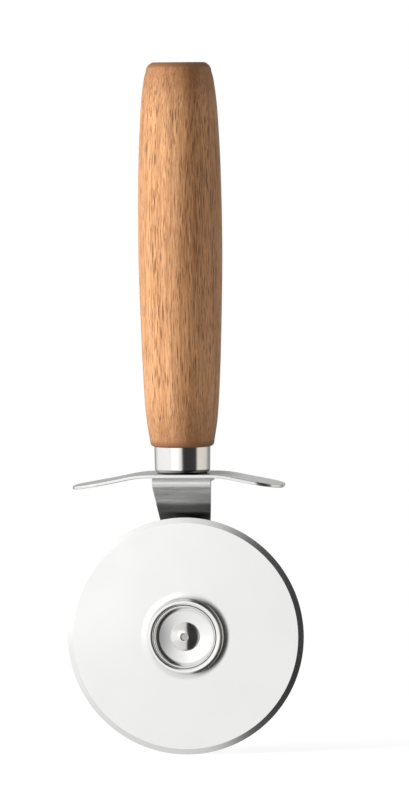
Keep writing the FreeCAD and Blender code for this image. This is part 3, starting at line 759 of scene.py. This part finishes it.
class PASTRY_OT_wheel_arm(bpy.types.Operator):
    """Cut the arm from sheet, fold its foot and bend its neck"""
    bl_idname = "pastry.wheel_arm"
    bl_label = "Wheel arm"

    def execute(self, context):
        settings = context.scene.pastry_metal
        slope = math.radians(40.5)
        neck_y, neck_z = -4.8 * MM, 86.3 * MM
        taper = 0.118
        low_half = AXLE_Z - ARM_LOW_Z
        neck_end_z = 72.0 * MM
        neck_half = FOOT_HALF_W - taper * (neck_z - neck_end_z)
        inside = 0.5 * MM
        middle_r = inside + ARM_T / 2
        outside = inside + ARM_T
        foot_corner = 3.0 * MM
        ease = 0.15 * MM

        fold_z = ARM_TOP_Z - outside
        facing = math.pi + slope
        tangent_z = fold_z + outside * math.sin(facing)
        fold_y = neck_y + (neck_z - tangent_z) * math.tan(slope) - outside * math.cos(facing)
        low_y = ARM_FRONT_Y - inside
        low_tangent_y = low_y + inside * math.cos(slope)
        low_z = neck_z - (low_tangent_y - neck_y) / math.tan(slope) - inside * math.sin(slope)

        foot_len = FOOT_BACK_Y - fold_y
        fold_len = middle_r * (facing - math.pi / 2)
        neck_start = Vector((fold_y, fold_z)) + middle_r * Vector((math.cos(facing), math.sin(facing)))
        neck_end = Vector((low_y, low_z)) + middle_r * Vector((math.cos(slope), math.sin(slope)))
        neck_len = (neck_end - neck_start).length
        low_len = middle_r * slope
        ends = [foot_len]
        for length in (fold_len, neck_len, low_len):
            ends.append(ends[-1] + length)
        total = ends[-1] + low_z - ARM_LOW_Z

        def path(along):
            """Place and outward direction (front or top face) of the sheet's middle, as (y, z) pairs."""
            if along <= ends[0]:
                return Vector((FOOT_BACK_Y - along, ARM_TOP_Z - ARM_T / 2)), Vector((0, 1))
            if along <= ends[1]:
                angle = math.pi / 2 + (along - ends[0]) / middle_r
                out = Vector((math.cos(angle), math.sin(angle)))
                return Vector((fold_y, fold_z)) + middle_r * out, out
            if along <= ends[2]:
                out = Vector((math.cos(facing), math.sin(facing)))
                return neck_start.lerp(neck_end, (along - ends[1]) / neck_len), out
            if along <= ends[3]:
                angle = slope - (along - ends[2]) / middle_r
                out = Vector((math.cos(angle), math.sin(angle)))
                return Vector((low_y, low_z)) + middle_r * out, -out
            return Vector((ARM_FRONT_Y + ARM_T / 2, low_z - (along - ends[3]))), Vector((-1, 0))

        def half_width(z):
            if z >= neck_z:
                return FOOT_HALF_W
            if z >= neck_end_z:
                return FOOT_HALF_W - taper * (neck_z - z)
            return low_half + (neck_half - low_half) * (z - AXLE_Z) / (neck_end_z - AXLE_Z)

        def bend(along, across, height):
            place, out = path(along)
            place = place + out * height
            return Vector((across, place.x, place.y))

        axle_at = total - low_half
        marks = ends + between(ends[1], neck_len, 8, 1, 7) + between(ends[3], axle_at - ends[3], 6, 1)
        right = [(along, half_width(path(along)[0].y)) for along in sorted(marks)]
        tilt = math.atan((neck_half - low_half) / (neck_end_z - AXLE_Z))
        end_arc = arc_points((axle_at, 0), low_half, math.pi / 2 - tilt, -math.pi / 2 + tilt, HOLE_SIDES)
        right = [point for point in right if point[0] < end_arc[0].x]
        foot = rounded([(0, -FOOT_HALF_W, foot_corner), (0, FOOT_HALF_W, foot_corner),
                        (foot_len, FOOT_HALF_W, 0), (foot_len, -FOOT_HALF_W, 0)])[:-2]
        left = [(along, -half) for along, half in reversed(right)]
        outline = foot + points_at(*right) + end_arc + points_at(*left)
        stations = between(ends[0], fold_len, 16) + between(ends[2], low_len, 6)
        stations += between(ends[1], neck_len, 6, 1, 5)
        metal = rolled_steel("satin_arm", settings.satin)
        outlines = [outline, hole(axle_at, SHANK_HOLE_R), hole(FOOT_BACK_Y, STEM_HOLE_R)]
        arm = bent_plate("wheel_arm_folded", outlines, ARM_T, ease, stations, bend, metal)
        fit(arm, FIXED_BODY, "wheel_arm", "arm_steel")
        return {"FINISHED"}


class PASTRY_OT_blade_disc(bpy.types.Operator):
    """Spin the blade with its ground edge and pressed boss"""
    bl_idname = "pastry.blade_disc"
    bl_label = "Blade disc"

    def execute(self, context):
        metal = context.scene.pastry_metal
        wheel = context.scene.pastry_wheel
        sheet = wheel.blade_thickness
        front_y = DISC_BACK_Y - sheet
        middle_y = DISC_BACK_Y - sheet / 2
        edge = 0.08 * MM
        shoulder_in = 1.35 * MM
        bevel_r = WHEEL_R - wheel.bevel_width
        tilt, skirt_tilt = math.radians(15.0), math.radians(18.0)
        lip_r, shoulder_r, flare_r, skirt_r = 0.95 * MM, 0.25 * MM, 0.15 * MM, 7.0 * MM
        straight, full = math.pi / 2, math.pi
        lip = (wheel.boss_opening + lip_r, BOSS_FRONT_Y + lip_r)
        shoulder = (wheel.boss_opening + shoulder_in, BOSS_FRONT_Y + shoulder_r)
        # The flare rounds the wall into a skirt that eases down to the disc's face.
        flare_y = front_y - skirt_r + (skirt_r - flare_r) * math.cos(skirt_tilt)
        rise = flare_y - shoulder[1] + (shoulder_r + flare_r) * math.sin(tilt)
        flare = (shoulder[0] + (shoulder_r + flare_r) * math.cos(tilt) + rise * math.tan(tilt), flare_y)
        skirt = (flare[0] + (skirt_r - flare_r) * math.sin(skirt_tilt), front_y - skirt_r)
        rim_back_y = BOSS_FRONT_Y + sheet
        drop = rim_back_y - shoulder[1] + shoulder_r * math.sin(tilt)
        inner_r = shoulder[0] + shoulder_r * math.cos(tilt) + drop * math.tan(tilt) - sheet / math.cos(tilt)
        outline = arc_points(lip, lip_r, full, full + straight, 14)
        outline += arc_points(shoulder, shoulder_r, -straight, -tilt, 10)
        outline += arc_points(flare, flare_r, full - tilt, straight + skirt_tilt, 8)
        outline += arc_points(skirt, skirt_r, straight + skirt_tilt, straight, 10)[1:]
        outline += points_at((bevel_r, front_y), (WHEEL_R, middle_y - edge), (WHEEL_R, middle_y + edge),
                             (bevel_r, DISC_BACK_Y))
        outline += arc_points(skirt, skirt_r + sheet, straight, straight + skirt_tilt, 10)
        outline += arc_points(flare, flare_r + sheet, straight + skirt_tilt, full - tilt, 10)[1:]
        outline += points_at((inner_r, rim_back_y), (wheel.boss_opening, rim_back_y))
        satin = spun_steel("satin_blade", metal.satin, metal.satin_roughness, 0.012, ring_depth=0.0008 * MM,
                           ground_r=bevel_r)
        blade = turned("blade_disc_ground", outline, satin, metal.segments, on_axle=True, closed=True)
        fit(blade, WHEEL_BODY, "blade_disc", "blade_steel")
        return {"FINISHED"}


class PASTRY_OT_front_hub(bpy.types.Operator):
    """Spin the dished washer and the rivet that holds it"""
    bl_idname = "pastry.front_hub"
    bl_label = "Dish and rivet"

    def execute(self, context):
        settings = context.scene.pastry_metal
        sheet = 0.8 * MM
        floor_y = DISH_BACK_Y - sheet

        def wall(*places):
            """Three places on the dish's wall: radius, and depth behind its rim, in millimetres."""
            return points_at(*((radius * MM, DISH_FRONT_Y + depth * MM) for radius, depth in places))

        outline = points_at((DISH_R, DISH_FRONT_Y))
        outline += three_point_arc(*wall((9.6, 0), (8.92, 0.624), (8.05, 0.922)), 16)
        outline += points_at((HEAD_R, floor_y), (SHANK_HOLE_R, floor_y), (SHANK_HOLE_R, DISH_BACK_Y),
                             (HEAD_R, DISH_BACK_Y))
        outline += three_point_arc(*wall((8.12, 1.72), (9.25, 1.3), (DISH_R / MM, 0.65)), 12)
        bowl = spun_steel("polished_dish", settings.satin, 0.2, 0.02, rings=6.0)
        dish = turned("dish_washer_pressed", outline, bowl, settings.segments, on_axle=True, closed=True)
        fit(dish, FIXED_BODY, "dish_washer", "dish_steel")

        shank_r = 1.5 * MM
        edge_h = 0.4 * MM
        edge_y = floor_y - edge_h
        tip_r = 1.3 * MM
        dimple = 0.15 * MM
        bulge = 0.66
        tip, head_middle, head_edge = points_at(
            (tip_r, HEAD_TIP_Y), (bulge * HEAD_R, edge_y - bulge * (edge_y - HEAD_TIP_Y)), (HEAD_R, edge_y))
        tail_r = 3.0 * MM
        tail_h = TAIL_END_Y - RIVET_WASHER_BACK_Y
        dome_r = (tail_r ** 2 + tail_h ** 2) / (2 * tail_h)
        half = math.asin(tail_r / dome_r)
        dome = arc_points((0, TAIL_END_Y - dome_r), dome_r, math.pi / 2 - half, math.pi / 2, 12)
        outline = points_at((0, HEAD_TIP_Y + dimple), (tip_r - 2 * dimple, HEAD_TIP_Y + dimple))
        outline += three_point_arc(tip, head_middle, head_edge, 16)
        outline += points_at((HEAD_R, floor_y), (shank_r, floor_y), (shank_r, RIVET_WASHER_BACK_Y),
                             (tail_r, RIVET_WASHER_BACK_Y)) + dome
        bright = spun_steel("polished_rivet", settings.polished, 0.17, 0.02, dull_r=tip_r - dimple)
        rivet = turned("axle_rivet_formed", outline, bright, SMALL_SEGMENTS, on_axle=True)
        fit(rivet, FIXED_BODY, "axle_rivet", "rivet_steel")
        return {"FINISHED"}


class PASTRY_OT_rings(bpy.types.Operator):
    """Spin every plain ring: plate, sleeve, spacer and washers"""
    bl_idname = "pastry.rings"
    bl_label = "Plate, sleeve and washers"

    def execute(self, context):
        settings = context.scene.pastry_metal
        plain = steel("plain_steel", (0.66, 0.66, 0.65), 0.3, 0.04)
        plate = spun_steel("spun_plate", (0.80, 0.80, 0.79), 0.28, 0.04)
        brass = turned_brass()
        nylon = white_nylon()
        rings = (
            ("hub_plate", "plate_steel", plate, WHEEL_BODY, 4.0 * MM, 0.15 * MM),
            ("bearing_sleeve", "sleeve_brass", brass, WHEEL_BODY, SLEEVE_BORE_R, 0.1 * MM),
            ("axle_spacer", "inner_steel", plain, FIXED_BODY, SHANK_HOLE_R, 0.1 * MM),
            ("front_thrust_washer", "nylon", nylon, FIXED_BODY, SLEEVE_BORE_R, 0.1 * MM),
            ("rear_thrust_washer", "nylon", nylon, FIXED_BODY, SLEEVE_BORE_R, 0.1 * MM),
            ("rivet_washer", "inner_steel", plain, FIXED_BODY, SHANK_HOLE_R, 0.12 * MM),
            ("tang_washer", "inner_steel", plain, FIXED_BODY, STEM_HOLE_R, 0.12 * MM),
        )
        for node, slot, material, body, bore, ease in rings:
            on_axle = node != "tang_washer"
            low, high = span(node, 1 if on_axle else 2)
            outer = span(node, 0)[1]
            outline = rounded([(bore, low, ease), (outer, low, ease), (outer, high, ease), (bore, high, ease)],
                              step=math.radians(15))
            ring = turned(node + "_turned", outline, material, SMALL_SEGMENTS, on_axle=on_axle, closed=True)
            fit(ring, body, node, slot)
        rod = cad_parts["tang_rod"]
        rod.data.materials.clear()
        rod.data.materials.append(plain)
        return {"FINISHED"}


# ---------------------------------------------------------------- stage

FLOOR_R = 0.2
FLOOR_GLOW = (0.02, 0.3, 0.88, 1.0)      # between these distances the floor's own light rises from third to fourth
SENSOR_WIDTH = 36
CAMERA_AIM = (7.1 * MM, 111.9 * MM)      # right and up, in the picture's plane
LIT_PLACE = Vector((0, 0, 0.12))
# Name, place, size, power, and whether the metal mirrors it
STUDIO_LIGHTS = (
    ("key_left", (-0.8, -0.42, 0.30), 0.4, 12.9, False),
    ("fill_top", (-0.1, -0.4, 0.9), 0.6, 1.0, False),
    ("fill_right", (0.6, -0.6, 0.25), 0.5, 1.2, False),
    ("white_card", (-0.29, -0.64, 0.18), 0.42, 0.15, True),
)
SOFT_SHARE = 0.44                        # of the walls' light that reaches dull surfaces
TABLE_GREY = (0.20, 0.20, 0.20)
TABLE_SLOPE = (-0.93, -0.985)            # downward part of a direction where the table starts and fills it
WALL_FADE = (0.25, 0.45, 1.0, 0.80)      # between these slopes, up or down, the walls fade from third to fourth
# Degrees round the room from the front, and the colour of the wall there
STUDIO_WALLS = (
    (-178, 0.55, 0.55, 0.55), (-148, 0.32, 0.32, 0.32), (-115, 1.0, 1.0, 1.0), (-60, 1.05, 1.05, 1.05),
    (0, 0.93, 0.93, 0.93), (9, 0.035, 0.035, 0.037), (64, 0.045, 0.045, 0.047), (73, 0.82, 0.78, 0.71),
    (118, 0.74, 0.71, 0.66), (140, 0.30, 0.30, 0.29), (165, 0.34, 0.34, 0.34), (178, 0.55, 0.55, 0.55),
)


class PASTRY_OT_stage(bpy.types.Operator):
    """Set the pale floor, the studio light and the camera"""
    bl_idname = "pastry.stage"
    bl_label = "Stage"

    def execute(self, context):
        settings = context.scene.pastry_stage
        self.floor()
        self.surroundings(context.scene)
        self.lights()
        self.camera(context.scene, settings)
        context.scene.view_settings.view_transform = "Standard"
        return {"FINISHED"}

    def floor(self):
        """A small pale disc, nearly white where the wheel stands and white at its rim."""
        work = bmesh.new()
        bmesh.ops.create_circle(work, cap_ends=True, segments=SMALL_SEGMENTS, radius=FLOOR_R)
        mesh = bpy.data.meshes.new("floor")
        work.to_mesh(mesh)
        work.free()
        floor = new_object("floor", mesh)
        pale = Finish("pale_floor")
        away = pale.reach(pale.place, (1, 1, 1))
        mesh.materials.append(pale.give(
            Base_Color=(0.2, 0.2, 0.2), Roughness=0.9, Specular_IOR_Level=0.0, Emission_Color=(1, 1, 1),
            Emission_Strength=pale.ramp(away, *FLOOR_GLOW)))
        floor.visible_glossy = False

    def surroundings(self, scene):
        """White studio: bright to the left, a dark flag front right, warm white beyond it."""
        world = bpy.data.worlds.new("studio")
        scene.world = world
        world.use_nodes = True
        world.node_tree.nodes.clear()
        sky = Bench(world.node_tree)
        way = sky.split(sky.textures.outputs["Generated"])
        turn = sky.maths("ARCTAN2", way["X"], sky.maths("MULTIPLY", way["Y"], -1.0))
        walls = sky.add("ShaderNodeValToRGB", {"Fac": sky.ramp(turn, -math.pi, math.pi, easing="LINEAR")})
        band = walls.color_ramp
        for _ in range(len(STUDIO_WALLS) - 2):
            band.elements.new(0.5)
        for element, (angle, *colour) in zip(band.elements, STUDIO_WALLS):
            element.position = (angle + 180) / 360
            element.color = (*colour, 1)
        walls = walls.outputs["Color"]
        table = sky.mix(sky.ramp(way["Z"], *TABLE_SLOPE), walls, TABLE_GREY)
        level = sky.ramp(sky.maths("ABSOLUTE", way["Z"]), *WALL_FADE, easing="LINEAR")
        mirrored = sky.add("ShaderNodeBackground", {"Color": table, "Strength": level})
        soft = sky.add("ShaderNodeBackground", {"Color": walls, "Strength": SOFT_SHARE})
        white = sky.add("ShaderNodeBackground", {"Color": (1, 1, 1)})
        seen = sky.add("ShaderNodeLightPath").outputs
        lit = sky.add("ShaderNodeMixShader", {
            "Fac": seen["Is Diffuse Ray"], 1: mirrored.outputs["Background"], 2: soft.outputs["Background"]})
        shown = sky.add("ShaderNodeMixShader", {
            "Fac": seen["Is Camera Ray"], 1: lit.outputs["Shader"], 2: white.outputs["Background"]})
        sky.add("ShaderNodeOutputWorld", {"Surface": shown.outputs["Shader"]})

    def lights(self):
        """A large soft key from the left, weak fills above and right, and a white card the metal mirrors."""
        for name, place, size, power, mirrored in STUDIO_LIGHTS:
            light = bpy.data.lights.new(name, "AREA")
            light.size = size
            light.energy = power
            lamp = new_object(name, light)
            lamp.location = place
            lamp.visible_glossy = mirrored
            aim = LIT_PLACE - Vector(place)
            lamp.rotation_euler = aim.to_track_quat("-Z", "Y").to_euler()

    def camera(self, scene, settings):
        """A long lens from a little above level, slightly to the right."""
        camera = bpy.data.cameras.new("camera")
        camera.lens = settings.lens
        camera.sensor_width = SENSOR_WIDTH
        eye = new_object("camera", camera)
        scene.camera = eye
        back = Vector((math.sin(settings.turn) * math.cos(settings.rise),
                       -math.cos(settings.turn) * math.cos(settings.rise), math.sin(settings.rise)))
        facing = (-back).to_track_quat("-Z", "Y")
        aim_right, aim_up = CAMERA_AIM
        target = facing @ Vector((1, 0, 0)) * aim_right + facing @ Vector((0, 1, 0)) * aim_up
        eye.location = target + back * settings.height * camera.lens / camera.sensor_width
        eye.rotation_mode = "QUATERNION"
        eye.rotation_quaternion = Matrix.Rotation(settings.roll, 3, back).to_quaternion() @ facing
        camera.clip_start = 0.05
        camera.clip_end = 20


# ---------------------------------------------------------------- panel and registration

STEPS = (
    PASTRY_OT_stage,
    PASTRY_OT_wooden_handle,
    PASTRY_OT_ferrule,
    PASTRY_OT_finger_guard,
    PASTRY_OT_wheel_arm,
    PASTRY_OT_blade_disc,
    PASTRY_OT_front_hub,
    PASTRY_OT_rings,
)
SETTINGS = (
    ("pastry_handle", HandleSettings),
    ("pastry_metal", MetalSettings),
    ("pastry_wheel", WheelSettings),
    ("pastry_stage", StageSettings),
)


class PASTRY_PT_panel(bpy.types.Panel):
    """Settings and steps of the pastry cutter wheel"""
    bl_label = "Pastry cutter wheel"
    bl_idname = "PASTRY_PT_panel"
    bl_space_type = "VIEW_3D"
    bl_region_type = "UI"
    bl_category = "Pastry Wheel"

    def draw(self, context):
        for name, group in SETTINGS:
            box = self.layout.box()
            for key in group.__annotations__:
                box.prop(getattr(context.scene, name), key)
        for step in STEPS:
            self.layout.operator(step.bl_idname)


def register():
    for name, group in SETTINGS:
        bpy.utils.register_class(group)
        setattr(bpy.types.Scene, name, PointerProperty(type=group))
    for step in STEPS:
        bpy.utils.register_class(step)
    bpy.utils.register_class(PASTRY_PT_panel)


def unregister():
    bpy.utils.unregister_class(PASTRY_PT_panel)
    for step in reversed(STEPS):
        bpy.utils.unregister_class(step)
    for name, group in reversed(SETTINGS):
        delattr(bpy.types.Scene, name)
        bpy.utils.unregister_class(group)


def main():
    """Builds the stage and every piece."""
    register()
    for step in STEPS:
        family, name = step.bl_idname.split(".")
        getattr(getattr(bpy.ops, family), name)()


if __name__ == "__main__":
    main()
